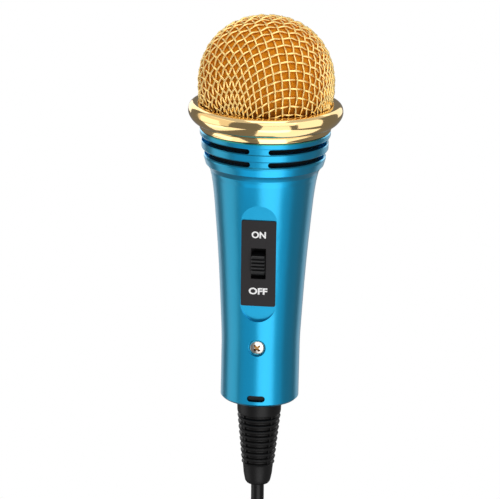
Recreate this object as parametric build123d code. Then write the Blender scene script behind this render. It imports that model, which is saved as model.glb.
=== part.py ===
from build123d import *
import math
import os

# Wired hand-held karaoke microphone, standing upright: +Z runs along its axis to the head,
# the switch faces -Y, and the origin is on the axis in the middle of the grip that a stand
# clip holds. All sizes are in millimetres.

# ---- driving dimensions -----------------------------------------------------------------
BOTTOM_Z = -12.3            # lower edge of the handle
GRIP_R = 13.4               # cylindrical grip at the lower end
GRIP_TOP_Z = 6.0            # where the grip starts to widen
WALL = 2.6                  # handle wall
SHOULDER_Z = 72.0           # ledge inside the handle that carries the capsule cup
SOCKET_R = 18.5             # bore above that ledge
COLLAR_TOP_Z = 82.0         # top of the painted part of the handle
COLLAR_R = 22.0
NECK_R = 20.5               # threaded neck that the head screws onto
NECK_TOP_Z = 88.3

HEAD_Z = 97.5               # widest level of the wire dome
DOME_R = 23.05
DOME_H = 23.15
DOME_POWER = 2.14           # 2 is an ellipse, more has squarer shoulders
MESH_T = 1.0
LINER_T = 1.5
RING_BOTTOM_Z = 82.3
RING_TOP_Z = 91.2
RING_R = 26.0
RING_WIDE_Z = 88.15
RING_SHELF_Z = 88.5
THREAD_GAP = 0.05

VENT_LEVELS = (79.15, 74.5)
VENT_H = 1.8
VENT_BRIDGE = 17.0          # degrees of wall left between two slots
VENTS_PER_ROW = 4

SWITCH_Z = 39.0             # middle of the switch
SWITCH_DEPTH = 14.05        # distance of the pocket floor from the axis there
SWITCH_TILT = 4.63          # degrees, the pocket floor follows the taper
POCKET = (12.0, 41.5)
PLATE = (11.7, 30.6, 0.4)
PLATE_SLOT = (5.0, 11.0)
PLATE_SKIRT = 2.4
KNOB = (4.6, 6.6)
KNOB_TOP = 2.2
KNOB_RIDGES = 5
KNOB_PITCH = 1.25
SWITCH_OPENING = (5.6, 11.6)
PAD_Z = -2.65               # inner face of the flat pad behind the pocket
STEM_TOP = -0.4             # top of the carrier's stem inside the knob
SWITCH_SCREW_Y = 12.2       # of the two screws, above and below the switch

SCREW_Z = 8.8
SCREW_R = 1.25
SCREW_HEAD_R = 2.33
SCREW_HEAD_H = 1.3
COUNTERBORE_R = 3.0
COUNTERBORE_Y = -11.9

LATCH_Z = BOTTOM_Z + 2.9
LATCH = (6.1, 2.2)
CAP_R = 10.75
CAP_TOP_Z = BOTTOM_Z + 5.0  # the anchor block stands on the cap
FLANGE_Z = BOTTOM_Z + 3.0   # the strain relief's flange rests on the cap's ledge
BOOT_BOTTOM_Z = -44.4
BOOT_COLLAR_H = 5.45
BOOT_RIB_R = (7.55, 5.6)    # outside of the ribs, at the first and the last
BOOT_TAIL_R = (5.25, 4.6)   # the smooth tail below them
BOOT_GROOVES = 9
BOOT_PITCH = 2.12
BOOT_GROOVE = (0.9, 0.9)    # height and depth
BOOT_WEB = 0.8              # width of the webs left across the grooves

CABLE_D = 4.5
LEAD_END_Z = -60.6          # just inside the top of the hank
HANK_Y = 9.4                # middle of the hank, behind the lead
HANK_T = 23.6
HANK_Z = -117.0
HANK_RUN = 68.0
HANK_END_R = 22.5
HANK_WAIST = 21.0
TIE_H = 12.0
TIE_T = 1.6
PLUG_Y = 29.5               # the plug hangs behind the hank
PLUG_TOP_Z = -132.0
PLUG_R = 5.5
SHANK_R = 3.175
TIP_R = 2.95

CAPSULE_R = 13.0
CUP_R = 15.2
CAPSULE_Z = (80.0, 102.0)

os.makedirs("parts", exist_ok=True)


# ---- helpers ------------------------------------------------------------------------------
def save(shape, name):
    """Writes one sub-part to its own file."""
    export_step(shape, f"parts/{name}.step")


def disc(radius, low, high):
    """A solid cylinder on the axis between two levels."""
    return Pos(0, 0, low) * extrude(Circle(radius), high - low)


def band(outer, inner, low, high):
    """A plain ring on the axis between two levels."""
    return disc(outer, low, high) - disc(inner, low, high)


def lathe(*points):
    """Turns a closed outline of (radius, level) points round the axis."""
    return revolve(Plane.XZ * make_face(Polyline(*points, close=True)), Axis.Z)


def box(size, center):
    """A block of that size about that centre."""
    return Pos(*center) * Box(*size)


def spots(count, radius, start=0.0):
    """Points evenly spaced round the axis."""
    turns = [math.radians(start + 360.0 * k / count) for k in range(count)]
    return [(radius * math.cos(t), radius * math.sin(t)) for t in turns]


def tube(points, diameter, say=None):
    """A round tube along straight runs that large tangent arcs join."""
    radii = []
    corners = [Vector(*p) for p in points]
    for before, here, after in zip(corners, corners[1:], corners[2:]):
        half_turn = math.radians((here - before).get_angle(after - here)) / 2
        shorter = min((here - before).length, (after - here).length)
        radii.append(0.45 * shorter / math.tan(half_turn))
    path = FilletPolyline(*points, radius=radii)
    section = Plane(origin=path @ 0, z_dir=path % 0) * Circle(diameter / 2)
    solid = sweep(section, path=path)
    if say:
        ideal = path.length * math.pi * diameter**2 / 4
        print(say, "length", round(path.length, 1), "radii", [round(r, 1) for r in radii],
              "volume", round(solid.volume, 1), "of", round(ideal, 1))
    return solid


def rod(start, end, radius):
    """A straight round rod between two points."""
    way = Vector(*end) - Vector(*start)
    return extrude(Plane(origin=start, z_dir=way) * Circle(radius), way.length)


def dome_line(radius, height, low, z0=HEAD_Z, steps=10):
    """The outline of a dome from its rim at the level low up to the axis."""
    below = min(1.0, (z0 - low) / height)
    start = -math.asin(below ** (DOME_POWER / 2))
    points = []
    for k in range(steps + 1):
        angle = start + (math.pi / 2 - start) * k / steps
        side = abs(math.cos(angle)) ** (2 / DOME_POWER) if k < steps else 0.0
        rise = math.copysign(abs(math.sin(angle)) ** (2 / DOME_POWER), angle)
        points.append((radius * side, 0, z0 + height * rise))
    return Spline(*points)


def dome_shell(outset, thickness, low):
    """A dome wall whose outside lies that far inside the outermost dome."""
    outer = dome_line(DOME_R - outset, DOME_H - outset, low)
    inner = dome_line(DOME_R - outset - thickness, DOME_H - outset - thickness, low)
    rim = Line(inner @ 0, outer @ 0)
    top = Line(outer @ 1, inner @ 1)
    return revolve(make_face([rim, outer, top, inner]), Axis.Z)


def on_switch(shape):
    """Moves a shape from the pocket floor's frame: X across, Y up, Z out of the handle."""
    return SWITCH_PLANE.location * shape


tilt = math.radians(SWITCH_TILT)
SWITCH_PLANE = Plane(
    origin=(0, -SWITCH_DEPTH, SWITCH_Z),
    x_dir=(1, 0, 0),
    z_dir=(0, -math.cos(tilt), -math.sin(tilt)),
)


# ---- handle -----------------------------------------------------------------------------
def taper_line(inset):
    """The long taper of the handle, from the grip up to the flare below the vents."""
    points = [(GRIP_TOP_Z, GRIP_R), (16.0, 13.75), (27.0, 14.35), (40.0, 15.2), (53.0, 16.3), (66.0, 17.85)]
    places = [(r - inset, 0, z) for z, r in points]
    return Spline(*places, tangents=[(0, 0, 1), (0.19, 0, 1)])


def handle_outside():
    taper = taper_line(0)
    lower = Polyline((0, 0, BOTTOM_Z), (GRIP_R - 0.7, 0, BOTTOM_Z), (GRIP_R, 0, BOTTOM_Z + 0.7), taper @ 0)
    flare = ThreePointArc((18.35, 0, 68.2), (18.95, 0, 69.2), (19.55, 0, 70.0))
    step = Polyline(taper @ 1, (18.2, 0, 67.4), (18.35, 0, 68.2))
    upper = Polyline(
        (19.55, 0, 70.0), (19.9, 0, 70.3), (20.55, 0, 72.6), (20.55, 0, 73.2), (20.3, 0, 73.6),
        (20.3, 0, 75.4), (21.1, 0, 75.55), (21.35, 0, 75.9), (21.4, 0, 77.9), (21.3, 0, 78.2),
        (21.3, 0, 80.1), (21.85, 0, 80.2), (COLLAR_R, 0, 80.5), (COLLAR_R, 0, COLLAR_TOP_Z - 0.3),
        (COLLAR_R - 0.3, 0, COLLAR_TOP_Z), (NECK_R, 0, COLLAR_TOP_Z), (NECK_R, 0, NECK_TOP_Z - 0.4),
        (NECK_R - 0.4, 0, NECK_TOP_Z), (0, 0, NECK_TOP_Z), (0, 0, BOTTOM_Z))
    return revolve(make_face([lower, taper, step, flare, upper]), Axis.Z)


def handle_inside():
    taper = taper_line(WALL)
    rest = Polyline(
        taper @ 1, (15.9, 0, SHOULDER_Z - 1.5), (16.2, 0, SHOULDER_Z), (SOCKET_R, 0, SHOULDER_Z),
        (SOCKET_R, 0, NECK_TOP_Z + 1), (0, 0, NECK_TOP_Z + 1), (0, 0, BOTTOM_Z - 1),
        (GRIP_R - WALL, 0, BOTTOM_Z - 1), taper @ 0)
    return revolve(make_face([taper, rest]), Axis.Z)


def vent_slot(level):
    """One arc slot through the wall with round ends."""
    inner, outer = SOCKET_R - 1, COLLAR_R + 1
    span = 360 / VENTS_PER_ROW - VENT_BRIDGE
    end = math.degrees(VENT_H / 2 / 21.0)
    face = Plane.XZ * Pos((inner + outer) / 2, level) * Rectangle(outer - inner, VENT_H)
    slot = revolve(face, Axis.Z, revolution_arc=span - 2 * end)
    for turn in (0, span - 2 * end):
        end_hole = Plane.YZ * Pos(0, level) * Circle(VENT_H / 2)
        slot += Rot(0, 0, turn) * Pos(inner, 0, 0) * extrude(end_hole, outer - inner)
    return slot, VENT_BRIDGE / 2 + end


def handle():
    body = handle_outside() - handle_inside()
    pad = on_switch(box((11.4, 33.0, 2.0), (0, 0, PAD_Z + 1.0)))
    body += pad & handle_outside()
    pocket = extrude(Rot(0, 0, 90) * SlotOverall(POCKET[1], POCKET[0]), 6)
    body -= on_switch(pocket)
    body -= on_switch(box((*SWITCH_OPENING, 8), (0, 0, 0)))
    for up in (-SWITCH_SCREW_Y, SWITCH_SCREW_Y):
        body -= on_switch(Pos(0, up, -2) * Cylinder(1.05, 8))
        body -= on_switch(Pos(0, up, -0.5) * Cylinder(1.9, 1.0))
    for level in VENT_LEVELS:
        slot, first = vent_slot(level)
        for k in range(VENTS_PER_ROW):
            body -= Rot(0, 0, first + 360 / VENTS_PER_ROW * k) * slot
    body -= rod((0, -20, SCREW_Z), (0, COUNTERBORE_Y, SCREW_Z), COUNTERBORE_R)
    body -= rod((0, -20, SCREW_Z), (0, -9, SCREW_Z), SCREW_R + 0.15)
    latch = Plane.XZ * Pos(0, LATCH_Z) * SlotOverall(*LATCH)
    body -= Pos(0, -9, 0) * extrude(latch, 6)
    return body


save(handle(), "handle_body")


# ---- head: ring, wire dome, liner and hoop, which turn together ---------------------------
def grille_ring():
    bore = NECK_R + THREAD_GAP
    inner = Polyline(
        (23.9, 0, 91.15), (23.3, 0, RING_TOP_Z), (22.5, 0, RING_TOP_Z), (22.5, 0, RING_SHELF_Z),
        (bore, 0, RING_SHELF_Z), (bore, 0, RING_BOTTOM_Z), (21.8, 0, RING_BOTTOM_Z),
        (22.1, 0, RING_BOTTOM_Z + 0.3), (22.1, 0, 83.9), (22.4, 0, 84.15))
    outer = Spline((22.4, 0, 84.15), (24.75, 0, 85.55), (RING_R, 0, RING_WIDE_Z), (25.75, 0, 89.8),
                   (24.95, 0, 90.8), (23.9, 0, 91.15))
    return revolve(make_face([inner, outer]), Axis.Z)


save(grille_ring(), "grille_ring")
save(dome_shell(0, MESH_T, RING_SHELF_Z), "grille_mesh")
save(dome_shell(MESH_T + 0.1, LINER_T, RING_SHELF_Z + 0.1), "grille_liner")
save(band(18.55, 17.75, RING_SHELF_Z + 0.1, RING_SHELF_Z + 3.1), "grille_hoop")
save(band(21.7, NECK_R + 0.1, COLLAR_TOP_Z, RING_BOTTOM_Z), "head_gasket")


# ---- capsule and its holder ---------------------------------------------------------------
def capsule_cup():
    floor = SHOULDER_Z + 1.5
    cup = band(CUP_R, CUP_R - 1.3, floor, 96.0) + band(SOCKET_R - 0.1, 3.0, SHOULDER_Z, floor)
    for x, y in spots(6, CUP_R - 0.1, 30):
        turn = math.degrees(math.atan2(y, x))
        cup += Rot(0, 0, turn) * box((1.9, 1.2, 8.0), (CUP_R + 0.85, 0, floor + 4.0))
    for x, y in spots(4, 11.0, 45):
        cup -= Pos(x, y, SHOULDER_Z + 0.75) * Cylinder(1.2, 2)
    return cup


def capsule_front():
    low = CAPSULE_Z[1]
    cover = band(CAPSULE_R + 0.4, CAPSULE_R, low - 3.0, low) + disc(CAPSULE_R + 0.4, low, low + 1.2)
    rim = cover.edges().filter_by(GeomType.CIRCLE).group_by(Axis.Z)[-1]
    cover = fillet(rim, 0.8)
    for count, radius in ((1, 0.0), (6, 4.2), (12, 8.4)):
        for x, y in spots(count, radius):
            cover -= Pos(x, y, low + 0.6) * Cylinder(1.1, 2)
    return cover


low, high = CAPSULE_Z
save(capsule_cup(), "capsule_cup")
save(band(SOCKET_R - 0.1, SOCKET_R - 1.1, SHOULDER_Z + 1.55, 84.0), "vent_felt")
save(band(CUP_R - 1.32, CAPSULE_R + 0.02, 82.0, 85.0) + band(CUP_R - 1.32, CAPSULE_R + 0.02, 92.0, 95.0),
     "shock_rings")
save(band(CAPSULE_R, CAPSULE_R - 0.8, low, high) + band(CAPSULE_R - 0.8, 10.2, low + 3, low + 4.2),
     "capsule_housing")
save(capsule_front(), "capsule_front")
save(disc(11.6, high - 0.7, high - 0.1), "capsule_felt")
save(band(12.1, 8.4, high - 2.2, high - 1.8)
     + lathe((0, high - 1.5), (5.0, high - 1.8), (8.4, high - 2.2), (8.4, high - 2.0), (5.0, high - 1.6),
             (0, high - 1.3)),
     "diaphragm")
save(band(7.0, 6.4, high - 6.4, high - 2.1), "voice_coil")
save(disc(6.0, high - 6.4, high - 4.4), "pole_plate")
save(disc(5.6, high - 13.4, high - 6.45), "magnet")
save(band(9.6, 7.6, high - 13.45, high - 4.4) + disc(9.6, high - 15.0, high - 13.45)
     + band(12.1, 9.5, high - 5.6, high - 4.4), "magnet_yoke")
save(disc(11.9, low + 1.4, low + 2.9) - Pos(0, 5, low + 2) * Cylinder(1.2, 3), "capsule_board")
save(box((2.4, 3.2, 0.5), (-5, 0, low + 1.15)) + box((0.8, 1.2, 2.2), (-5, 0, low - 0.2))
     + box((2.4, 3.2, 0.5), (5, 0, low + 1.15)) + box((0.8, 1.2, 2.2), (5, 0, low - 0.2)),
     "capsule_terminals")


# ---- slide switch, in the frame of the pocket floor --------------------------------------
def switch_plate():
    """The plate, with a thin skirt that lines the opening in the handle."""
    plate = extrude(RectangleRounded(PLATE[0], PLATE[1], 0.6), PLATE[2])
    plate += box((SWITCH_OPENING[0] - 0.1, SWITCH_OPENING[1] - 0.1, PLATE_SKIRT), (0, 0, -PLATE_SKIRT / 2))
    return plate - box((*PLATE_SLOT, 3 * PLATE_SKIRT), (0, 0, 0))


def switch_knob():
    low_z = PAD_Z + 0.3
    knob = box((*KNOB, KNOB_TOP - low_z), (0, 0, (KNOB_TOP + low_z) / 2))
    knob = fillet(knob.edges().filter_by(Axis.Z), 0.35)
    knob = chamfer(knob.edges().group_by(Axis.Z)[-1], 0.3)
    for k in range(KNOB_RIDGES - 1):
        up = (k - (KNOB_RIDGES - 2) / 2) * KNOB_PITCH
        knob -= Pos(0, up, KNOB_TOP) * Rot(45, 0, 0) * Box(KNOB[0] + 1, 0.75, 0.75)
    return knob - box((3.0, 4.0, 2 * (STEM_TOP - low_z)), (0, 0, low_z))


def switch_frame():
    top = PAD_Z - 0.02
    frame = box((9.8, 29.0, 0.5), (0, 0, top - 0.25))
    frame += box((9.8, 20.0, 5.0), (0, 0, top - 2.5)) - box((8.8, 19.0, 9.0), (0, 0, top - 5.0))
    frame -= box((3.6, 8.8, 3.0), (0, 0, top))
    for up in (-SWITCH_SCREW_Y, SWITCH_SCREW_Y):
        frame -= Pos(0, up, top) * Cylinder(1.05, 3)
    return frame


def switch_carrier():
    carrier = box((8.2, 12.0, 1.9), (0, 0, -4.45))
    return carrier + box((3.0, 4.0, STEM_TOP + 4.0), (0, 0, (STEM_TOP - 4.0) / 2))


def switch_screw(up):
    head = Pos(0, up, -0.55) * Cylinder(1.8, 0.8)
    shank = Pos(0, up, -2.6) * Cylinder(1.0, 3.4)
    return head + shank - box((2.4, 0.5, 0.5), (0, up, -0.2)) - box((0.5, 2.4, 0.5), (0, up, -0.2))


def switch_base():
    """The switch's floor, with a slot for the leg of each terminal."""
    base = box((8.78, 18.98, 1.0), (0, 0, -7.1))
    for x, y in TERMINAL_SPOTS:
        base -= box((0.54, 1.24, 3.0), (x, y, -7.1))
    return base


def switch_terminal(x, y):
    return box((1.6, 1.8, 0.3), (x, y, -6.43)) + box((0.5, 1.2, 4.1), (x, y, -8.55))


TERMINAL_SPOTS = [(x, y) for x in (-2.4, 2.4) for y in (-5.5, 0.0, 5.5)]
save(on_switch(switch_plate()), "switch_plate")
save(on_switch(switch_knob()), "switch_knob")
save(on_switch(switch_frame()), "switch_frame")
save(on_switch(switch_carrier()), "switch_carrier")
save(on_switch(Part() + [box((1.6, 7.0, 0.6), (x, 0, -5.7)) for x in (-2.4, 2.4)]), "switch_contacts")
save(on_switch(switch_base()), "switch_base")
save(on_switch(Part() + [switch_terminal(*spot) for spot in TERMINAL_SPOTS]), "switch_terminals")
save(on_switch(Part() + [switch_screw(up) for up in (-SWITCH_SCREW_Y, SWITCH_SCREW_Y)]), "switch_screws")


# ---- tail of the handle: cap, cable anchor, clamp and the screw through the handle ------
def end_cap():
    low_edge = BOTTOM_Z + 0.05
    cap = band(CAP_R, 7.9, low_edge, CAP_TOP_Z) + band(8.0, 6.6, low_edge, FLANGE_Z)
    tab = Plane.XZ * Pos(0, LATCH_Z) * SlotOverall(LATCH[0] - 0.5, LATCH[1] - 0.5)
    return cap + Pos(0, -9.5, 0) * extrude(tab, 2.6)


def cable_anchor():
    block = disc(CAP_R - 0.05, CAP_TOP_Z + 0.05, 14.0) - box((30, 20, 30), (0, 10.0, 13.0))
    block -= disc(CABLE_D / 2, CAP_TOP_Z - 1, 20)
    block -= rod((0, -20, SCREW_Z), (0, -3.2, SCREW_Z), SCREW_R)
    for x in (-6.2, 6.2):
        block -= rod((x, 1, 5.0), (x, -5, 5.0), 1.0)
    return block


def cable_clamp():
    bar = box((16.4, 3.4, 5.0), (0, 1.72, 5.0))
    bar = fillet(bar.edges().filter_by(Axis.Y), 1.5)
    bar -= disc(CABLE_D / 2, 0, 10)
    for x in (-6.2, 6.2):
        bar -= rod((x, -1, 5.0), (x, 5, 5.0), 1.05)
    return bar


def clamp_screw(x):
    head = rod((x, 3.43, 5.0), (x, 4.7, 5.0), 1.9)
    return head + rod((x, 3.43, 5.0), (x, -4.5, 5.0), 0.98) - box((2.6, 0.5, 0.5), (x, 4.7, 5.0))


def handle_screw():
    face = COUNTERBORE_Y - SCREW_HEAD_H
    head = rod((0, COUNTERBORE_Y, SCREW_Z), (0, face, SCREW_Z), SCREW_HEAD_R)
    front = head.edges().filter_by(GeomType.CIRCLE).sort_by(Axis.Y)[0]
    head = fillet(front, 0.7)
    for size in ((2.5, 1.5, 0.65), (0.65, 1.5, 2.5)):
        head -= box(size, (0, face, SCREW_Z))
    return head + rod((0, COUNTERBORE_Y, SCREW_Z), (0, -5.0, SCREW_Z), SCREW_R)


save(end_cap(), "end_cap")
save(cable_anchor(), "cable_anchor")
save(cable_clamp(), "cable_clamp")
save(Part() + [clamp_screw(x) for x in (-6.2, 6.2)], "clamp_screws")
save(handle_screw(), "handle_screw")


# ---- strain relief -------------------------------------------------------------------------
def strain_relief():
    ribs_z = BOTTOM_Z - BOOT_COLLAR_H
    tail_z = ribs_z - BOOT_GROOVES * BOOT_PITCH
    first_r, last_r = BOOT_RIB_R
    tail_r, end_r = BOOT_TAIL_R
    boot = lathe(
        (CABLE_D / 2, BOOT_BOTTOM_Z), (end_r - 1.3, BOOT_BOTTOM_Z), (end_r - 0.4, BOOT_BOTTOM_Z + 0.7),
        (end_r, BOOT_BOTTOM_Z + 2.0), (tail_r, tail_z), (last_r, tail_z), (first_r, ribs_z),
        (first_r + 0.1, BOTTOM_Z), (6.55, BOTTOM_Z), (6.55, FLANGE_Z), (7.8, FLANGE_Z), (7.8, CAP_TOP_Z),
        (CABLE_D / 2, CAP_TOP_Z))
    height, depth = BOOT_GROOVE
    for k in range(BOOT_GROOVES):
        level = ribs_z - (k + 0.5) * BOOT_PITCH
        floor = first_r + (last_r - first_r) * (k + 0.5) / BOOT_GROOVES - depth
        groove = band(10, floor, level - height / 2, level + height / 2)
        for turn in (45, 135):
            groove -= Rot(0, 0, turn) * box((30, BOOT_WEB, 3), (0, 0, level))
        boot -= groove
    return boot


save(strain_relief(), "strain_relief")


# ---- wiring inside the handle -------------------------------------------------------------
def terminal_point(x, up, out):
    """A point given in the pocket floor's frame."""
    place = SWITCH_PLANE.from_local_coords((x, up, out))
    return (place.X, place.Y, place.Z)


def capsule_wire(side):
    x, y, z = terminal_point(side * 2.4, 5.5, -10.62)
    return tube([(x, y + 0.1, z), (x, y + 4, z + 3.0), (side * 3.0, 0.5, z + 12), (side * 1.2, 0.0, 60.0),
                 (side * 1.6, 0.2, 72.0), (side * 4.4, 0.2, 77.0), (side * 5.0, 0.0, low - 1.35)], 1.1)


def cable_core(side):
    x, y, z = terminal_point(side * 2.4, -5.5, -10.62)
    return tube([(side * 1.0, 0.0, 12.05), (side * 1.2, 0.4, 18.0), (side * 2.0, 0.8, z - 7),
                 (x, y + 3.0, z - 2.5), (x, y + 0.1, z)], 1.1)


save(Part() + [capsule_wire(side) for side in (-1, 1)], "capsule_wires")
save(Part() + [cable_core(side) for side in (-1, 1)], "cable_cores")
save(disc(CABLE_D / 2, BOOT_BOTTOM_Z, 12.0), "cable_inside")


# ---- cable outside: lead, tied hank, tail and plug ---------------------------------------
def hank():
    """The outer shape of the turns: an oval bundle, pinched in the middle by the tie."""
    reach = HANK_RUN / 2
    pinch = HANK_WAIST / 2
    turn = math.acos(HANK_END_R / math.hypot(pinch, reach)) - math.atan2(reach, pinch)
    side = HANK_END_R * math.cos(turn)
    level = reach + HANK_END_R * math.sin(turn)
    outline = Polygon((side, level), (-side, level), (-pinch, 0), (-side, -level), (side, -level), (pinch, 0),
                      align=None)
    waist = outline.vertices().filter_by(lambda v: abs(v.Y) < 0.1)
    outline = fillet(waist, 25.0)
    for end in (-reach, reach):
        outline += Pos(0, end) * Circle(HANK_END_R)
    return Pos(0, HANK_Y + HANK_T / 2, HANK_Z) * Rot(90, 0, 0) * extrude(outline, HANK_T)


def cable_tie():
    wide, deep = HANK_WAIST + 7.6, HANK_T + 0.4
    outer = RectangleRounded(wide + 2 * TIE_T, deep + 2 * TIE_T, 6.0)
    inner = RectangleRounded(wide, deep, 4.4)
    return Pos(0, HANK_Y, HANK_Z - TIE_H / 2) * extrude(outer - inner, TIE_H)


HANK_BACK_Y = HANK_Y + HANK_T / 2
TAIL_ROUTE = [
    (-13.0, HANK_BACK_Y, -92.0), (-9.5, HANK_BACK_Y + 4.3, -102.0), (-4.0, PLUG_Y - 0.2, -113.0),
    (-0.5, PLUG_Y + 0.3, -123.0), (0.0, PLUG_Y, PLUG_TOP_Z),
]
save(disc(CABLE_D / 2, LEAD_END_Z, BOOT_BOTTOM_Z), "cable_lead")
save(hank(), "cable_hank")
save(cable_tie(), "cable_tie")
save(tube(TAIL_ROUTE, CABLE_D, "tail"), "cable_tail")


def plug_at(shape):
    """Places a plug piece, which is made with its top at the level 0."""
    return Pos(0, PLUG_Y, PLUG_TOP_Z) * shape


def plug_handle():
    relief = lathe((0, 0), (2.9, 0), (3.1, -1.0), (4.2, -14.0), (PLUG_R - 0.6, -14.0), (PLUG_R, -14.8),
                   (PLUG_R, -38.0), (PLUG_R - 0.8, -39.0), (0, -39.0))
    for k in range(5):
        level = -2.4 - 2.2 * k
        relief -= band(8, 2.5 + 0.1 * k, level - 0.5, level + 0.5)
    for turn in range(12):
        relief -= Rot(0, 0, 30 * turn) * box((1.0, 0.9, 16.0), (PLUG_R + 0.05, 0, -26.5))
    return relief - disc(SHANK_R - 1.0, -39.5, -30.0)


save(plug_at(plug_handle()), "plug_handle")
save(plug_at(band(SHANK_R + 1.1, 1.3, -40.4, -39.0) + band(SHANK_R, 1.3, -62.6, -40.4)), "plug_sleeve")
save(plug_at(band(TIP_R, 0.9, -63.6, -62.6) + band(1.29, 0.9, -62.6, -38.0)), "plug_insulator")
save(plug_at(lathe((0, -36.0), (0.88, -36.0), (0.88, -63.6), (TIP_R, -63.6), (TIP_R, -64.4), (2.1, -65.6),
                   (2.1, -66.2), (TIP_R, -67.2), (TIP_R, -67.8), (0.9, -70.6), (0, -71.0))), "plug_tip")
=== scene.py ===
import math

import bmesh
import bpy
from mathutils import Matrix, Vector


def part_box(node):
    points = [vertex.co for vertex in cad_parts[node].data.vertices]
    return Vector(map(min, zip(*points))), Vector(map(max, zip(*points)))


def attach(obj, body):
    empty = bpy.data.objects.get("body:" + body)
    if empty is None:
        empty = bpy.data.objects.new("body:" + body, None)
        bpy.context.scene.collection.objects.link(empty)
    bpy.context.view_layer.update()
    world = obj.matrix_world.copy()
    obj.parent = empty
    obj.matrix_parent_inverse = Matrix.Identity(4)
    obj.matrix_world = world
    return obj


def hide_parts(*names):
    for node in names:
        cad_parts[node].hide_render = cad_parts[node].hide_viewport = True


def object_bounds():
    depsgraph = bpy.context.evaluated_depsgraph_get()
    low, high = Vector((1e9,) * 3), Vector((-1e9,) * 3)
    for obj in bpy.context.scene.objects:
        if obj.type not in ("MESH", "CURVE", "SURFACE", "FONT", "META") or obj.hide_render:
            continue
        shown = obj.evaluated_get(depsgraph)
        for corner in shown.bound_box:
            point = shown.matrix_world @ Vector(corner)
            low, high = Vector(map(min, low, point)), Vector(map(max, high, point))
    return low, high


# A wired karaoke microphone, upright: +Z along its axis to the head, the switch faces -Y. All
# lengths are in metres, in the model's own frame.

MM = 0.001
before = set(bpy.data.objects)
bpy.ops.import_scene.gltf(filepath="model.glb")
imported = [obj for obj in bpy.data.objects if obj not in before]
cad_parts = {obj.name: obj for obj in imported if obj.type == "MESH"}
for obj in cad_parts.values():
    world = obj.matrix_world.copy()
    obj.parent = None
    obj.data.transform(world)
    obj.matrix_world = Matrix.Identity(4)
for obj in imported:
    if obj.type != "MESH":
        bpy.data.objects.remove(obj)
cad_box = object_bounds()

# ---- places, worked out from the CAD nodes ---------------------------------------------------
def corners(name):
    """The low and the high corner of a CAD node's box."""
    return (Vector(corner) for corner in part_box(name))


RING_LOW, RING_HIGH = corners("grille_ring")
MESH_LOW, MESH_HIGH = corners("grille_mesh")
BOOT_LOW, _ = corners("strain_relief")
BODY_LOW, _ = corners("handle_body")
HANK_LOW, HANK_HIGH = corners("cable_hank")
TIE_LOW, TIE_HIGH = corners("cable_tie")
PLATE_LOW, PLATE_HIGH = corners("switch_plate")
SCREW_LOW, SCREW_HIGH = corners("handle_screw")

DOME_R = MESH_HIGH.x                      # outside of the wires at the widest level
DOME_H = 23.15 * MM
DOME_Z = MESH_HIGH.z - DOME_H
DOME_POWER = 2.14
CABLE_D = 4.5 * MM
SWITCH_TILT = math.radians(4.63)          # the plate follows the taper of the handle


def deselect_all():
    bpy.ops.object.select_all(action="DESELECT")


def select_only(piece):
    deselect_all()
    bpy.context.view_layer.objects.active = piece
    piece.select_set(True)


# ---- camera ------------------------------------------------------------------------------------
def add_camera():
    """Looks slightly down on the front of the microphone, with a long lens."""
    azimuth, elevation = math.radians(5.5), math.radians(16.3)
    distance, lens, roll = 1.0, 212.0, math.radians(1.2)
    side = Vector((math.cos(azimuth), math.sin(azimuth), 0))
    back = Vector((math.sin(azimuth) * math.cos(elevation), -math.cos(azimuth) * math.cos(elevation),
                   math.sin(elevation)))
    below_dome, aside = 57.8 * MM, 4.3 * MM
    target = Vector((0, 0, DOME_Z - below_dome)) - aside * side
    bpy.ops.object.camera_add(location=target + distance * back)
    camera = bpy.context.object
    camera.name = "camera"
    turn = (-back).to_track_quat("-Z", "Y").to_matrix().to_4x4()
    camera.matrix_world = Matrix.Translation(camera.location) @ turn @ Matrix.Rotation(roll, 4, "Z")
    camera.data.lens = lens
    camera.data.sensor_width = 36
    camera.data.clip_start, camera.data.clip_end = 0.05, 20
    bpy.context.scene.camera = camera


add_camera()


# ---- cable: one line from the strain relief, through the tied hank, to the plug ------------------
HANK_MID = (HANK_LOW + HANK_HIGH) / 2
HANK_REACH = 33 * MM                      # half the straight part of a turn
LAYER = 4.7 * MM                          # step from one layer of turns to the next
LOOP_R = (15.6 * MM, 20.2 * MM)           # inner and outer turns of a layer
WAIST = (2.7 * MM, 7.3 * MM)              # the same strands where the strap gathers them
LEAD = [(0, 0, -44.4), (0.1, 0, -50.0), (0.0, 0.1, -55.5), (-0.6, 0.2, -62.5), (-2.6, 0.1, -72.5),
        (-6.0, 0.0, -84.0), (-9.0, 0.0, -99.0)]
TAIL = [(-18.8, 20.2, -90.0), (-10.5, 24.8, -101.5), (-4.0, 29.3, -113.0), (-0.5, 29.8, -123.0),
        (0.0, 29.5, -132.0)]
# One turn, from the waist on the left: a share of the loop's radius sideways, a share of the
# straight part up, and what the round end adds to it. None stands for the waist.
TURN = [(None, 0, 0), (-0.58, -0.42, 0), (-1, -1, -0.414), (-1, -1, 0.414), (-0.414, -1, 1), (0.414, -1, 1),
        (1, -1, 0.414), (1, -1, -0.414), (0.58, -0.42, 0), (None, 0, 0), (0.58, 0.42, 0), (1, 1, -0.414),
        (1, 1, 0.414), (0.414, 1, 1), (-0.414, 1, 1), (-1, 1, 0.414), (-1, 1, -0.414), (-0.58, 0.42, 0)]


def hank_turn(loop, waist, y_start, y_end):
    """Control points of one turn: down the left, round the bottom, up the right, over the top."""
    placed = []
    for k, (side, reach, end) in enumerate(TURN):
        x = math.copysign(waist, k - 1) if side is None else side * loop
        z = reach * HANK_REACH + (end if reach > 0 else -end) * loop
        placed.append((x, y_start + (y_end - y_start) * k / len(TURN), HANK_MID.z + z))
    return placed


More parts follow.
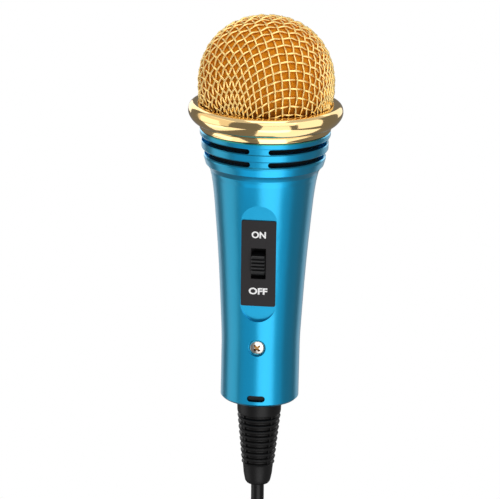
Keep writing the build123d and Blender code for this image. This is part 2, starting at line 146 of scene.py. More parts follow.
def cable_route():
    """The lead, one turn on the front, four layers of two turns behind it, and the plug's tail."""
    turns = [(0.0, 1)]
    for layer in range(1, 5):
        turns += [(layer * LAYER, ring) for ring in ((1, 0) if layer % 2 else (0, 1))]
    points = [tuple(v * MM for v in p) for p in LEAD]
    for (y, ring), (next_y, _) in zip(turns, turns[1:] + turns[-1:]):
        points += hank_turn(LOOP_R[ring], WAIST[ring], y, next_y)
    return points[:-2] + [tuple(v * MM for v in p) for p in TAIL]


def add_cable():
    """The tube, and the points of its line."""
    line = bpy.data.curves.new("cable", "CURVE")
    line.dimensions = "3D"
    line.resolution_u = 8
    route = cable_route()
    spline = line.splines.new("NURBS")
    spline.points.add(len(route) - 1)
    for point, place in zip(spline.points, route):
        point.co = (*place, 1)
    spline.order_u = 3
    spline.use_endpoint_u = True
    made = bpy.data.objects.new("cable", line)
    bpy.context.collection.objects.link(made)
    bare = bpy.data.meshes.new_from_object(made)
    path = [tuple(v.co) for v in bare.vertices]
    bpy.data.meshes.remove(bare)
    line.bevel_depth = CABLE_D / 2
    line.bevel_resolution = 5
    line.use_fill_caps = True
    select_only(made)
    bpy.ops.object.convert(target="MESH")
    bpy.ops.object.shade_smooth_by_angle(angle=math.radians(40))
    return bpy.context.object, path


cable, cable_path = add_cable()


# ---- modelling helpers ---------------------------------------------------------------------------
def finish_piece(piece, name, angle=35):
    """Settles a piece at the origin, smooth, with its faces outwards."""
    piece.name = name
    piece.data.name = name
    select_only(piece)
    bpy.ops.object.transform_apply(location=True, rotation=True, scale=True)
    bpy.ops.object.shade_smooth_by_angle(angle=math.radians(angle))
    return piece


def turned(name, rings, segments=64, angle=35):
    """A turned solid: a circle extruded from ring to ring. A ring of radius 0 is a pole, and an
    outline whose first and last rings are both round closes through its bore."""
    tiny = 1e-6
    (radius, level), rest = rings[0], rings[1:]
    bored = radius > 0 and rest[-1][0] > 0
    radius = max(radius, tiny)
    deselect_all()
    bpy.ops.mesh.primitive_circle_add(vertices=segments, radius=radius, location=(0, 0, level))
    piece = bpy.context.object
    bpy.ops.object.mode_set(mode="EDIT")
    bpy.ops.mesh.select_all(action="SELECT")
    for next_radius, next_level in rest:
        next_radius = max(next_radius, tiny)
        bpy.ops.mesh.extrude_region_move(TRANSFORM_OT_translate={"value": (0, 0, next_level - level)})
        ratio = next_radius / radius
        bpy.ops.transform.resize(value=(ratio, ratio, 1), center_override=(0, 0, next_level))
        radius, level = next_radius, next_level
    bpy.ops.mesh.select_all(action="DESELECT")
    bpy.ops.mesh.select_non_manifold()
    if bored:
        bpy.ops.mesh.bridge_edge_loops()
    bpy.ops.mesh.select_all(action="SELECT")
    bpy.ops.mesh.remove_doubles(threshold=3 * tiny)
    bpy.ops.mesh.normals_make_consistent(inside=False)
    bpy.ops.object.mode_set(mode="OBJECT")
    return finish_piece(piece, name, angle)


# ---- material helpers -------------------------------------------------------------------------------
def new_material(name, color, roughness, metallic=0.0, **sockets):
    material = bpy.data.materials.new(name)
    material.use_nodes = True
    shader = material.node_tree.nodes["Principled BSDF"]
    shader.inputs["Base Color"].default_value = (*color, 1)
    shader.inputs["Roughness"].default_value = roughness
    shader.inputs["Metallic"].default_value = metallic
    for socket, value in sockets.items():
        shader.inputs[socket.replace("_", " ")].default_value = value
    return material


def node(material, kind, **values):
    made = material.node_tree.nodes.new(kind)
    for key, value in values.items():
        if key in made.inputs:
            made.inputs[key].default_value = value
        else:
            setattr(made, key, value)
    return made


def wire_up(material, *links):
    for source, target in links:
        material.node_tree.links.new(source, target)


def object_places(material, scale=(1, 1, 1)):
    """Object coordinates, stretched."""
    coordinate = node(material, "ShaderNodeTexCoord")
    mapping = node(material, "ShaderNodeMapping", Scale=scale)
    wire_up(material, (coordinate.outputs["Object"], mapping.inputs["Vector"]))
    return mapping.outputs["Vector"]


def add_bump(material, height, distance, strength):
    shader = material.node_tree.nodes["Principled BSDF"]
    bump = node(material, "ShaderNodeBump", Distance=distance, Strength=strength)
    wire_up(material, (height, bump.inputs["Height"]), (bump.outputs["Normal"], shader.inputs["Normal"]))


def vary(material, vector, scale, low, high, socket, detail=4.0):
    """Drives a shader number by soft noise between two values."""
    shader = material.node_tree.nodes["Principled BSDF"]
    noise = node(material, "ShaderNodeTexNoise", Scale=scale, Detail=detail)
    span = node(material, "ShaderNodeMapRange")
    span.inputs["To Min"].default_value = low
    span.inputs["To Max"].default_value = high
    wire_up(material, (vector, noise.inputs["Vector"]), (noise.outputs["Fac"], span.inputs["Value"]),
            (span.outputs["Result"], shader.inputs[socket]))
    return noise.outputs["Fac"]


def vary_color(material, vector, scale, dark, light, detail=4.0):
    """Moves the base colour between two colours by noise."""
    shader = material.node_tree.nodes["Principled BSDF"]
    noise = node(material, "ShaderNodeTexNoise", Scale=scale, Detail=detail)
    ramp = node(material, "ShaderNodeValToRGB")
    ramp.color_ramp.elements[0].position, ramp.color_ramp.elements[1].position = 0.35, 0.65
    ramp.color_ramp.elements[0].color = (*dark, 1)
    ramp.color_ramp.elements[1].color = (*light, 1)
    wire_up(material, (vector, noise.inputs["Vector"]), (noise.outputs["Fac"], ramp.inputs["Fac"]),
            (ramp.outputs["Color"], shader.inputs["Base Color"]))
    return noise.outputs["Fac"]


def cover(material, *names):
    """Gives CAD nodes or pieces one material."""
    for name in names:
        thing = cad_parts.get(name) or bpy.data.objects[name]
        thing.data.materials.clear()
        thing.data.materials.append(material)


# ---- woven wire dome -----------------------------------------------------------------------------
WIRE_D = 0.7 * MM
WIRE_PITCH = 2.95 * MM
WEAVE_TURN = math.radians(25.5)           # where the wires run straight down, from the front
SKEW = 0.068                              # how far the cloth slides sideways between those places
STEPS_PER_CROSSING = 4


def dome_profile(outset, count=400):
    """Radius, level, and distance from the top along the dome, down to its rim."""
    radius, height = DOME_R + outset, DOME_H + outset
    lowest = -math.asin(((DOME_Z - MESH_LOW.z) / height) ** (DOME_POWER / 2))
    rows, length = [], 0.0
    for k in range(count + 1):
        angle = math.pi / 2 + (lowest - math.pi / 2) * k / count
        out = radius * max(0.0, math.cos(angle)) ** (2 / DOME_POWER)
        level = DOME_Z + height * math.copysign(abs(math.sin(angle)) ** (2 / DOME_POWER), angle)
        if rows:
            length += math.hypot(out - rows[-1][0], level - rows[-1][1])
        rows.append((out, level, length))
    return rows


def on_profile(rows, length):
    """The radius, level and outward slope at a distance from the top."""
    low, high = 0, len(rows) - 1
    while high - low > 1:
        middle = (low + high) // 2
        if rows[middle][2] <= length:
            low = middle
        else:
            high = middle
    (r0, z0, s0), (r1, z1, s1) = rows[low], rows[high]
    part = (length - s0) / max(s1 - s0, 1e-9)
    run = max(math.hypot(r1 - r0, z1 - z0), 1e-9)
    return r0 + (r1 - r0) * part, z0 + (z1 - z0) * part, (z0 - z1) / run, (r1 - r0) / run


def on_cloth(rows, u, v, lift):
    """Where a point of the flat wire cloth lands on the dome."""
    reach, turn = math.hypot(u, v), math.atan2(v, u)
    if reach > 1e-9:
        turn += SKEW * (reach / (11 * WIRE_PITCH)) ** 2 * math.sin(4 * turn)
    length = reach * (1 + 0.019 * (1 - math.cos(4 * turn)))
    if length > rows[-1][2]:
        return None
    radius, level, out, up = on_profile(rows, length)
    radius, level = radius + lift * out, level + lift * up
    turn += WEAVE_TURN - math.pi / 2
    return radius * math.cos(turn), radius * math.sin(turn), level


def add_woven_dome():
    rows = dome_profile(-0.65 * MM)
    line = bpy.data.curves.new("woven_dome", "CURVE")
    line.dimensions = "3D"
    line.bevel_depth = WIRE_D / 2
    line.bevel_resolution = 2
    line.use_fill_caps = True
    most = int(rows[-1][2] / WIRE_PITCH)
    for family, crimp in ((0, 0.3 * MM), (1, 0.34 * MM)):
        for wire in range(-most, most + 1):
            across = wire * WIRE_PITCH
            sign = (1 if family else -1) * (-1) ** wire
            places = []
            for step in range(-(most + 1) * STEPS_PER_CROSSING, (most + 1) * STEPS_PER_CROSSING + 1):
                along = step * WIRE_PITCH / STEPS_PER_CROSSING
                lift = sign * crimp * math.cos(math.pi * along / WIRE_PITCH)
                u, v = (across, along) if family else (along, across)
                place = on_cloth(rows, u, v, lift)
                if place:
                    places.append(place)
            if len(places) < 3:
                continue
            spline = line.splines.new("POLY")
            spline.points.add(len(places) - 1)
            for point, place in zip(spline.points, places):
                point.co = (*place, 1)
    made = bpy.data.objects.new("woven_dome", line)
    bpy.context.collection.objects.link(made)
    select_only(made)
    bpy.ops.object.convert(target="MESH")
    bpy.ops.object.shade_smooth()
    return made


woven_dome = add_woven_dome()
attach(woven_dome, "head")
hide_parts("grille_mesh")


# ---- ring under the dome -------------------------------------------------------------------------------
RING_R = RING_HIGH.x
RING_WIDE = RING_LOW.z + 5.85 * MM        # level where the ring is widest
THREAD_R = 20.55 * MM                     # bore that takes the handle's neck
SEAT_R = 22.5 * MM                        # bore that takes the dome and its hoop
SEAT_Z = RING_LOW.z + 6.2 * MM            # level of the shoulder between the two


def quarter(corner, half, power, start, end, steps=12):
    """Rings along a quarter of a rounded outline, turned about a corner point (radius, level)."""
    rings = []
    for k in range(steps + 1):
        turn = math.radians(start + (end - start) * k / steps)
        out = abs(math.cos(turn)) ** (2 / power)
        up = math.copysign(abs(math.sin(turn)) ** (2 / power), turn)
        rings.append((corner[0] + half[0] * out, corner[1] + half[1] * up))
    return rings


def add_ring():
    """A flared, polished ring with a full rolled upper edge."""
    neck, lip = RING_R - 3.6 * MM, RING_R - 2.7 * MM
    low, high = RING_LOW.z, RING_HIGH.z
    rings = [(THREAD_R, low), (neck - 0.65 * MM, low), (neck - 0.38 * MM, low + 0.1 * MM),
             (neck - 0.3 * MM, low + 0.35 * MM), (neck - 0.3 * MM, low + 1.5 * MM)]
    rings += quarter((neck, RING_WIDE), (3.6 * MM, RING_WIDE - low - 1.85 * MM), 1.6, -89, 0)
    rings += quarter((lip, RING_WIDE), (2.7 * MM, high - RING_WIDE), 2.6, 6, 89)
    rings += [(SEAT_R + 0.35 * MM, high), (SEAT_R + 0.1 * MM, high - 0.1 * MM), (SEAT_R, high - 0.35 * MM),
              (SEAT_R, SEAT_Z), (THREAD_R, SEAT_Z)]
    return turned("ring", rings, segments=160, angle=50)


ring = add_ring()
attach(ring, "head")
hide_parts("grille_ring")


# ---- strain relief ----------------------------------------------------------------------------------
BOOT_TOP = BODY_LOW.z                     # where the boot comes out of the handle
RIBS_TOP = BOOT_TOP - 5.45 * MM
BOOT_PITCH = 2.12 * MM
BOOT_GROOVES = 9
RIBS_LOW = RIBS_TOP - BOOT_GROOVES * BOOT_PITCH
RIB_R = (7.55 * MM, 5.6 * MM)             # outside of the ribs, at the first and the last
TAIL_R = (5.25 * MM, 4.6 * MM)            # the smooth tail below them
NECK_R = 6.5 * MM                         # the part that the handle's bottom holds
FLANGE_R = 7.75 * MM                      # the flange inside the handle, above the neck
GROOVE = ((0.0, 0.72), (0.08, 0.6), (0.34, 0.5), (0.74, 0.4), (0.88, 0.2))   # depth, half height


def add_boot():
    """A moulded boot: a collar, round ribs that thin down, and a smooth tail with a round end."""
    bore, low = CABLE_D / 2 + 0.02 * MM, BOOT_LOW.z
    (first_r, last_r), (tail_r, end_r) = RIB_R, TAIL_R
    rings = [(bore, low + 0.6 * MM), (bore + 0.3 * MM, low + 0.12 * MM), (end_r - 1.5 * MM, low),
             (end_r - 0.75 * MM, low + 0.3 * MM), (end_r - 0.25 * MM, low + 1.0 * MM),
             (end_r, low + 2.1 * MM),
             ((tail_r + end_r) / 2, (low + RIBS_LOW) / 2), (tail_r, RIBS_LOW - 0.25 * MM),
             (tail_r + 0.1 * MM, RIBS_LOW - 0.05 * MM)]
    for k in reversed(range(BOOT_GROOVES)):
        middle = RIBS_TOP - (k + 0.5) * BOOT_PITCH
        crest = first_r + (last_r - first_r) * (k + 0.5) / BOOT_GROOVES
        rings += [(crest - drop * MM, middle - half * MM) for drop, half in GROOVE]
        rings += [(crest - drop * MM, middle + half * MM) for drop, half in reversed(GROOVE)]
    flange = BOOT_TOP + 3 * MM
    rings += [(first_r, RIBS_TOP + 0.3 * MM), (first_r + 0.06 * MM, (RIBS_TOP + BOOT_TOP) / 2),
              (first_r + 0.1 * MM, BOOT_TOP - 0.4 * MM), (first_r, BOOT_TOP - 0.06 * MM),
              (NECK_R + 0.05 * MM, BOOT_TOP - 0.02 * MM), (NECK_R, flange - 0.1 * MM),
              (FLANGE_R, flange + 0.05 * MM), (FLANGE_R, flange + 1.95 * MM), (bore, flange + 1.95 * MM)]
    made = turned("boot", rings, segments=96, angle=50)
    webs = [add_web(math.radians(turn)) for turn in (45, 135, 225, 315)]
    deselect_all()
    for part in (*webs, made):
        part.select_set(True)
    bpy.context.view_layer.objects.active = made
    bpy.ops.object.join()
    return made


def add_web(turn):
    """A bar that crosses all the grooves of the boot and leans in with them."""
    (first_r, last_r), thick, wide, sunk = RIB_R, 0.9 * MM, 0.7 * MM, 0.3 * MM
    deselect_all()
    bpy.ops.mesh.primitive_cube_add(size=1)
    web = bpy.context.object
    tall = BOOT_GROOVES * BOOT_PITCH - 0.9 * MM
    lean = math.atan2(first_r - last_r, BOOT_GROOVES * BOOT_PITCH)
    out = (first_r + last_r) / 2 - sunk - thick / 2
    middle = (RIBS_TOP + RIBS_LOW) / 2
    web.matrix_world = (Matrix.Rotation(turn, 4, "Z") @ Matrix.Translation((out, 0, middle))
                        @ Matrix.Rotation(lean, 4, "Y") @ Matrix.Diagonal((thick, wide, tall, 1)))
    edge = web.modifiers.new("edge", "BEVEL")
    edge.width, edge.segments = 0.1 * MM, 2
    finish_piece(web, "web")
    bpy.ops.object.modifier_apply(modifier=edge.name)
    return web


boot = add_boot()
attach(boot, "root")
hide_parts("strain_relief")


# ---- screw ---------------------------------------------------------------------------------------------
def cut(piece, cutter):
    change = piece.modifiers.new("cut", "BOOLEAN")
    change.operation, change.object, change.solver = "DIFFERENCE", cutter, "EXACT"
    select_only(piece)
    bpy.ops.object.modifier_apply(modifier=change.name)
    bpy.data.objects.remove(cutter)


def tapered_bar(length, width, depth):
    """One arm of a cross recess: a bar that narrows to its bottom."""
    bpy.ops.mesh.primitive_cube_add(size=1)
    bar = bpy.context.object
    bpy.ops.object.mode_set(mode="EDIT")
    bpy.ops.mesh.select_all(action="DESELECT")
    mesh = bmesh.from_edit_mesh(bar.data)
    for face in mesh.faces:
        face.select = face.normal.z < -0.9
    bmesh.update_edit_mesh(bar.data)
    bpy.ops.transform.resize(value=(0.45, 0.7, 1), center_override=(0, 0, -0.5))
    bpy.ops.object.mode_set(mode="OBJECT")
    bar.scale = (length, width, depth)
    bpy.ops.object.transform_apply(scale=True)
    return bar


SCREW_HEAD_H = 1.3 * MM                   # height of the CAD head, from the counterbore's floor
SCREW_SEAT = Vector((0, SCREW_LOW.y + SCREW_HEAD_H, (SCREW_LOW.z + SCREW_HIGH.z) / 2))


def add_screw():
    """A round-headed screw with a cross recess, turned a little past its four corners."""
    radius, height, shank = 2.75 * MM, 1.45 * MM, 1.25 * MM
    length = (SCREW_HIGH.y - SCREW_LOW.y) - SCREW_HEAD_H
    rings = [(0, -length), (shank - 0.3 * MM, -length), (shank, -length + 0.4 * MM), (shank, 0),
             (radius - 0.1 * MM, 0), (radius, 0.08 * MM), (radius, 0.42 * MM),
             (radius * 0.97, 0.65 * MM), (radius * 0.88, 0.9 * MM),
             (radius * 0.72, 1.12 * MM), (radius * 0.5, 1.3 * MM), (radius * 0.25, 1.41 * MM), (0, height)]
    screw = turned("screw", rings, segments=64, angle=40)
    for turn in (0, 90):
        arm = tapered_bar(4.0 * MM, 0.95 * MM, 2.2 * MM)
        arm.rotation_euler = (0, 0, math.radians(turn))
        arm.location = (0, 0, height + 0.05 * MM)
        bpy.context.view_layer.update()
        cut(screw, arm)
    screw.data.transform(Matrix.Translation(SCREW_SEAT) @ Matrix.Rotation(math.radians(90), 4, "X")
                         @ Matrix.Rotation(math.radians(42), 4, "Z"))
    return finish_piece(screw, "screw", 40)


screw = add_screw()
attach(screw, "root")
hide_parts("handle_screw")


# ---- lettering on the switch plate -----------------------------------------------------------------
def add_label(name, word, height, width, up):
    """A printed word, a hair proud of the plate, which leans with the handle's taper."""
    deselect_all()
    bpy.ops.object.text_add()
    label = bpy.context.object
    label.data.body = word
    label.data.align_x, label.data.align_y = "CENTER", "CENTER"
    label.data.size = 1.0
    label.data.offset = 0.034
    label.data.extrude = 0.01
    bpy.ops.object.convert(target="MESH")
    label = bpy.context.object
    xs = [v.co.x for v in label.data.vertices]
    ys = [v.co.y for v in label.data.vertices]
    middle = Vector(((min(xs) + max(xs)) / 2, (min(ys) + max(ys)) / 2, 0))
    squeeze = Matrix.Diagonal((width / (max(xs) - min(xs)), height / (max(ys) - min(ys)), 1.5 * MM, 1))
    half = (PLATE_HIGH.z - PLATE_LOW.z) / 2
    plate_mid = Vector((0, PLATE_LOW.y + half * math.tan(SWITCH_TILT), PLATE_LOW.z + half))
    normal = Vector((0, -math.cos(SWITCH_TILT), -math.sin(SWITCH_TILT)))
    upward = Vector((0, -math.sin(SWITCH_TILT), math.cos(SWITCH_TILT)))
    face = Matrix.Identity(4)
    for row in range(3):
        face[row][0], face[row][1], face[row][2] = (1, 0, 0)[row], upward[row], normal[row]
    place = plate_mid + upward * up
    label.data.transform(Matrix.Translation(place) @ face @ squeeze @ Matrix.Translation(-middle))
    return finish_piece(label, name)


label_on = add_label("label_on", "ON", 2.4 * MM, 4.8 * MM, 10.3 * MM)
label_off = add_label("label_off", "OFF", 2.4 * MM, 6.3 * MM, -9.9 * MM)
for label in (label_on, label_off):
    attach(label, "root")


# ---- strap round the hank ---------------------------------------------------------------------------
def add_strap():
    """A hook-and-loop strap pulled round the waist of the hank, its edges a little flared."""
    middle = (TIE_LOW + TIE_HIGH) / 2
    height = TIE_HIGH.z - TIE_LOW.z
    half_x, half_y = 11.6 * MM, (HANK_HIGH.y - HANK_LOW.y) / 2 + 0.7 * MM
    deselect_all()
    bpy.ops.mesh.primitive_circle_add(vertices=96, radius=1, location=(0, 0, 0))
    strap = bpy.context.object
    for v in strap.data.vertices:
        turn = math.atan2(v.co.y, v.co.x)
        power = 2 / 4.5
        v.co.x = half_x * math.copysign(abs(math.cos(turn)) ** power, math.cos(turn))
        v.co.y = half_y * math.copysign(abs(math.sin(turn)) ** power, math.sin(turn))
    bpy.ops.object.mode_set(mode="EDIT")
    bpy.ops.mesh.select_all(action="SELECT")
    steps = ((0.0, 1.0), (0.25, 0.965), (0.25, 0.975), (0.25, 1.01), (0.25, 1.035))
    bpy.ops.transform.translate(value=(0, 0, -height / 2))
    bpy.ops.transform.resize(value=(1.06, 1.02, 1), center_override=(0, 0, -height / 2))
    level = -height / 2
    for share, grow in steps[1:]:
        bpy.ops.mesh.extrude_region_move(TRANSFORM_OT_translate={"value": (0, 0, share * height)})
        level += share * height
        bpy.ops.transform.resize(value=(grow, 0.5 + grow / 2, 1), center_override=(0, 0, level))
    bpy.ops.object.mode_set(mode="OBJECT")
    wall = strap.modifiers.new("wall", "SOLIDIFY")
    wall.thickness, wall.offset = 1.3 * MM, 1.0
    edge = strap.modifiers.new("edge", "BEVEL")
    edge.width, edge.segments, edge.limit_method = 0.3 * MM, 2, "ANGLE"
    for change in (wall.name, edge.name):
        bpy.ops.object.modifier_apply(modifier=change)
    strap.data.transform(Matrix.Translation(middle))
    return finish_piece(strap, "strap", 40)


strap = add_strap()
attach(strap, "root")
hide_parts("cable_tie")

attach(cable, "root")
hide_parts("cable_lead", "cable_hank", "cable_tail")


# ---- materials -------------------------------------------------------------------------------------------
def blue_paint():
    """Satin metallic lacquer: fine flakes under a smooth coat."""
    paint = new_material("blue_paint", (0.02, 0.42, 0.67), 0.29, 0.95, Coat_Weight=0.5, Coat_Roughness=0.22)
    place = object_places(paint)
    flake = vary(paint, place, 9000, 0.26, 0.33, "Roughness", 1)
    add_bump(paint, flake, 0.00002, 0.12)
    return paint


def gold_plate():
    gold = new_material("gold_plate", (1.0, 0.72, 0.34), 0.09, 1.0)
    place = object_places(gold)
    smear = vary(gold, place, 220, 0.06, 0.14, "Roughness", 5)
    add_bump(gold, smear, 0.00005, 0.04)
    return gold


def gold_wire():
    wire = new_material("gold_wire", (1.0, 0.73, 0.29), 0.26, 0.97)
    place = object_places(wire)
    vary(wire, place, 900, 0.19, 0.34, "Roughness", 4)
    return wire


def amber_lining():
    """Open foam: small dark pores in orange-brown, with painted shade low down: the colour darkens towards
    the ring, where little light gets in.
    """
    foam = new_material("amber_lining", (0.9, 0.25, 0.01), 0.9, Specular_IOR_Level=0.1)
    shader = foam.node_tree.nodes["Principled BSDF"]
    place = object_places(foam)
    pores = node(foam, "ShaderNodeTexVoronoi", Scale=1400)
    split = node(foam, "ShaderNodeSeparateXYZ")
    height = node(foam, "ShaderNodeMapRange")
    height.inputs["From Min"].default_value = RING_HIGH.z - 1 * MM
    height.inputs["From Max"].default_value = RING_HIGH.z + 5 * MM
    # Painted shade: dark brown up to 1 mm below the ring's top, turning orange by 5 mm above it.
    depth = node(foam, "ShaderNodeMix", data_type="RGBA")
    depth.inputs[6].default_value = (0.12, 0.022, 0.001, 1)
    depth.inputs[7].default_value = (0.7, 0.235, 0.008, 1)
    pore = node(foam, "ShaderNodeMix", data_type="RGBA", blend_type="MULTIPLY")
    pore.inputs[0].default_value = 0.35
    wire_up(foam, (place, pores.inputs["Vector"]), (place, split.inputs["Vector"]),
            (split.outputs["Z"], height.inputs["Value"]), (height.outputs["Result"], depth.inputs[0]),
            (depth.outputs[2], pore.inputs[6]), (pores.outputs["Distance"], pore.inputs[7]),
            (pore.outputs[2], shader.inputs["Base Color"]))
    add_bump(foam, pores.outputs["Distance"], 0.0004, 0.6)
    return foam


def black_rubber(name, roughness, color=(0.0085, 0.008, 0.0085)):
    rubber = new_material(name, color, roughness, Specular_IOR_Level=0.45)
    place = object_places(rubber)
    grain = vary(rubber, place, 2600, roughness - 0.07, roughness + 0.08, "Roughness", 3)
    add_bump(rubber, grain, 0.00004, 0.25)
    return rubber


def moulded(name, color, roughness):
    plastic = new_material(name, color, roughness)
    place = object_places(plastic)
    grain = vary(plastic, place, 4200, roughness - 0.06, roughness + 0.07, "Roughness", 2)
    add_bump(plastic, grain, 0.00003, 0.3)
    return plastic


def bare_metal(name, color, roughness):
    metal = new_material(name, color, roughness, 1.0)
    place = object_places(metal, (1, 1, 14))
    vary(metal, place, 900, roughness - 0.05, roughness + 0.1, "Roughness", 3)
    return metal


def nickel_painted_recess_shade():
    """Nickel plate, with painted shade in the deep part of the cross recess: dark brown there."""
    nickel = bare_metal("screw_nickel", (0.8, 0.76, 0.7), 0.2)
    shader = nickel.node_tree.nodes["Principled BSDF"]
    coordinate = node(nickel, "ShaderNodeTexCoord")
    flat = node(nickel, "ShaderNodeMapping", Scale=(1, 0, 1), Location=(0, 0, -SCREW_SEAT.z))
    reach = node(nickel, "ShaderNodeVectorMath", operation="LENGTH")
    near = node(nickel, "ShaderNodeMath", operation="LESS_THAN")
    near.inputs[1].default_value = 2.1 * MM
    split = node(nickel, "ShaderNodeSeparateXYZ")
    deep = node(nickel, "ShaderNodeMath", operation="GREATER_THAN")
    deep.inputs[1].default_value = SCREW_SEAT.y - 0.98 * MM
    both = node(nickel, "ShaderNodeMath", operation="MULTIPLY")
    # Painted shade: dark brown near the axis, where the cross recess is deep.
    shade = node(nickel, "ShaderNodeMix", data_type="RGBA")
    shade.inputs[6].default_value = (0.8, 0.76, 0.7, 1)
    shade.inputs[7].default_value = (0.3, 0.16, 0.05, 1)
    wire_up(nickel, (coordinate.outputs["Object"], flat.inputs["Vector"]), (flat.outputs[0], reach.inputs[0]),
            (reach.outputs["Value"], near.inputs[0]), (coordinate.outputs["Object"], split.inputs[0]),
            (split.outputs["Y"], deep.inputs[0]), (near.outputs[0], both.inputs[0]),
            (deep.outputs[0], both.inputs[1]), (both.outputs[0], shade.inputs[0]),
            (shade.outputs[2], shader.inputs["Base Color"]))
    return nickel


def printed_white():
    ink = new_material("printed_white", (0.95, 0.95, 0.95), 0.5)
    place = object_places(ink)
    vary(ink, place, 3000, 0.42, 0.6, "Roughness", 2)
    return ink


def strap_cloth():
    cloth = new_material("strap_cloth", (0.02, 0.02, 0.022), 0.9, Sheen_Weight=0.4, Sheen_Roughness=0.4)
    place = object_places(cloth)
    loops = node(cloth, "ShaderNodeTexVoronoi", Scale=1500)
    wire_up(cloth, (place, loops.inputs["Vector"]))
    add_bump(cloth, loops.outputs["Distance"], 0.0003, 0.8)
    vary_color(cloth, place, 900, (0.012, 0.012, 0.013), (0.035, 0.035, 0.038))
    return cloth


def felt_cloth():
    felt = new_material("felt_cloth", (0.012, 0.012, 0.012), 0.95)
    place = object_places(felt)
    fibres = vary(felt, place, 1800, 0.85, 1.0, "Roughness", 6)
    add_bump(felt, fibres, 0.0003, 0.5)
    return felt


cover(blue_paint(), "handle_body")
cover(gold_plate(), "ring")
cover(gold_wire(), "woven_dome")
cover(amber_lining(), "grille_liner")
cover(black_rubber("boot_rubber", 0.42), "boot", "head_gasket", "shock_rings")
cover(black_rubber("cable_jacket", 0.36), "cable")
cover(moulded("plate_black", (0.027, 0.023, 0.026), 0.42), "switch_plate")
cover(moulded("knob_black", (0.008, 0.008, 0.009), 0.35), "switch_knob", "switch_carrier")
cover(moulded("cap_black", (0.012, 0.012, 0.013), 0.5), "end_cap", "cable_anchor", "cable_clamp",
      "capsule_cup", "plug_handle", "plug_insulator")
cover(printed_white(), "label_on", "label_off")
cover(nickel_painted_recess_shade(), "screw")
cover(bare_metal("plain_steel", (0.55, 0.55, 0.57), 0.3), "grille_hoop", "pole_plate", "magnet_yoke",
      "switch_screws", "clamp_screws")
cover(moulded("frame_black", (0.006, 0.006, 0.007), 0.6), "switch_frame")
cover(bare_metal("turned_aluminium", (0.78, 0.78, 0.8), 0.28), "capsule_housing", "capsule_front")
cover(bare_metal("plain_brass", (0.72, 0.5, 0.2), 0.28), "capsule_terminals", "switch_contacts",
      "switch_terminals")
cover(bare_metal("bright_nickel", (0.62, 0.61, 0.58), 0.16), "plug_sleeve", "plug_tip")
cover(bare_metal("copper_winding", (0.75, 0.32, 0.14), 0.35), "voice_coil")
cover(moulded("magnet_dark", (0.05, 0.05, 0.055), 0.5), "magnet")
cover(moulded("phenolic_board", (0.2, 0.1, 0.04), 0.5), "capsule_board", "switch_base")
cover(moulded("red_insulation", (0.4, 0.02, 0.015), 0.35), "capsule_wires", "cable_cores")
cover(moulded("clear_film", (0.6, 0.58, 0.5), 0.2), "diaphragm")
cover(black_rubber("inner_jacket", 0.4), "cable_inside")
cover(strap_cloth(), "strap")
cover(felt_cloth(), "vent_felt", "capsule_felt")


# ---- studio ---------------------------------------------------------------------------------------
def add_world():
    """A dim room that looks pure white to the camera."""
    world = bpy.data.worlds.new("studio")
    bpy.context.scene.world = world
    world.use_nodes = True
    tree = world.node_tree
    dim = tree.nodes["Background"]
    seen = tree.nodes.new("ShaderNodeLightPath")
    white = tree.nodes.new("ShaderNodeBackground")
    for light, strength in ((dim, 0.18), (white, 1.0)):
        light.inputs["Color"].default_value = (1, 1, 1, 1)
        light.inputs["Strength"].default_value = strength
    mix = tree.nodes.new("ShaderNodeMixShader")
    tree.links.new(seen.outputs["Is Camera Ray"], mix.inputs[0])
    tree.links.new(dim.outputs[0], mix.inputs[1])
    tree.links.new(white.outputs[0], mix.inputs[2])
    tree.links.new(mix.outputs[0], tree.nodes["World Output"].inputs["Surface"])


def add_softbox(name, bearing, height, reach, size, brightness, only, tint):
    """A flat light at a bearing in degrees round the microphone, 0 in front and 90 on the right. It
    faces a little above the middle, and lights only the pieces of one collection if that is given."""
    turn = math.radians(bearing)
    place = Vector((reach * math.sin(turn), -reach * math.cos(turn), height))
    lamp = bpy.data.lights.new(name, "AREA")
    lamp.shape = "RECTANGLE"
    lamp.size, lamp.size_y = size
    lamp.energy = brightness * math.pi * size[0] * size[1]
    lamp.color = tint
    light = bpy.data.objects.new(name, lamp)
    bpy.context.collection.objects.link(light)
    light.location = place
    light.rotation_euler = (Vector((0, 0, 30 * MM)) - place).to_track_quat("-Z", "Y").to_euler()
    light.visible_camera = False
    if only:
        light.light_linking.receiver_collection = only
    return light


def lit_together(name, *pieces):
    """A collection that a light can be kept to."""
    group = bpy.data.collections.new(name)
    for piece in pieces:
        group.objects.link(piece)
    return group


add_world()
gilded = lit_together("gilded", ring, woven_dome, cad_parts["grille_liner"])
trim = lit_together("trim", label_on, label_off, screw)
painted = lit_together("painted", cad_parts["handle_body"])

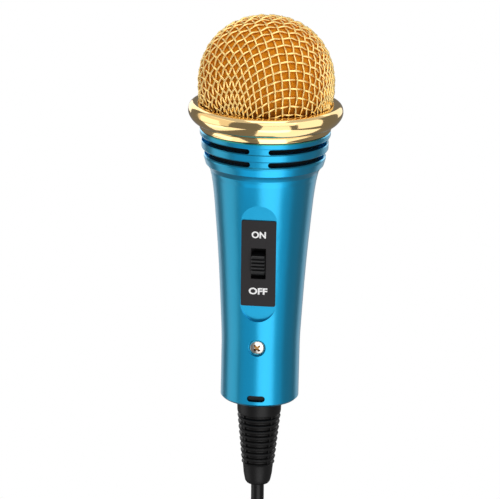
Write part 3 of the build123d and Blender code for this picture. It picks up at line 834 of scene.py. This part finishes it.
# Name, bearing in degrees, height, reach, size, brightness, what it lights and its tint.
WHITE, WARM, SKY, DEEP_SKY = (1, 1, 1), (1.0, 0.9, 0.75), (0.05, 0.75, 1.0), (0.1, 0.7, 1.0)
LIGHTS = (
    ("key", 21, -0.3, 0.75, (0.66, 1.1), 1.1, None, WHITE),
    ("side_left", -85, -0.15, 0.8, (0.6, 0.9), 0.65, None, WHITE),
    ("top", 10, 1.0, 0.35, (0.7, 0.6), 1.6, None, WHITE),
    ("back_left", -150, 0.3, 0.8, (0.4, 0.8), 1.2, None, WHITE),
    ("back_right", 150, 0.3, 0.8, (0.4, 0.8), 1.0, None, WHITE),
    ("blue_wrap", 8, -0.35, 0.9, (3.2, 1.3), 0.44, painted, SKY),
    ("blue_below", 10, -0.8, 0.4, (1.6, 0.7), 0.6, painted, SKY),
    ("blue_right", 92, -0.15, 0.8, (0.6, 0.9), 0.1, painted, DEEP_SKY),
    ("edge_left", -150, 0.1, 0.8, (0.5, 1.1), 0.55, painted, WHITE),
    ("edge_right", 150, 0.1, 0.8, (0.5, 1.1), 0.45, painted, WHITE),
    ("trim_front", 10, 0.1, 0.8, (0.9, 0.9), 1.4, trim, WHITE),
    ("gold_top", 10, 1.0, 0.35, (0.7, 0.6), 2.2, gilded, WHITE),
    ("gold_tent", 0, 1.5, 0.01, (3.6, 3.6), 0.45, gilded, WHITE),
    ("gold_front", 25, 0.5, 0.85, (0.9, 0.6), 1.2, gilded, WHITE),
    ("gold_left", -80, 0.25, 0.85, (1.1, 1.0), 0.75, gilded, WARM),
    ("gold_right", 75, 0.2, 0.85, (0.7, 1.0), 1.1, gilded, WHITE),
)
for light in LIGHTS:
    add_softbox(*light)

# Two lights lie flat below, with a gap between them that shows dark in the left front of the ring.
TABLE_Z = cad_box[0][2] - 0.15
for name, bearing, reach, size in (("gold_table", 44, 0.32, (0.56, 0.9)),
                                   ("gold_table_left", -66, 0.58, (0.46, 0.9))):
    table = add_softbox(name, bearing, TABLE_Z, reach, size, 1.1, gilded, WHITE)
    table.rotation_euler = (math.pi, 0, 0)
bpy.context.scene.view_settings.view_transform = "Standard"
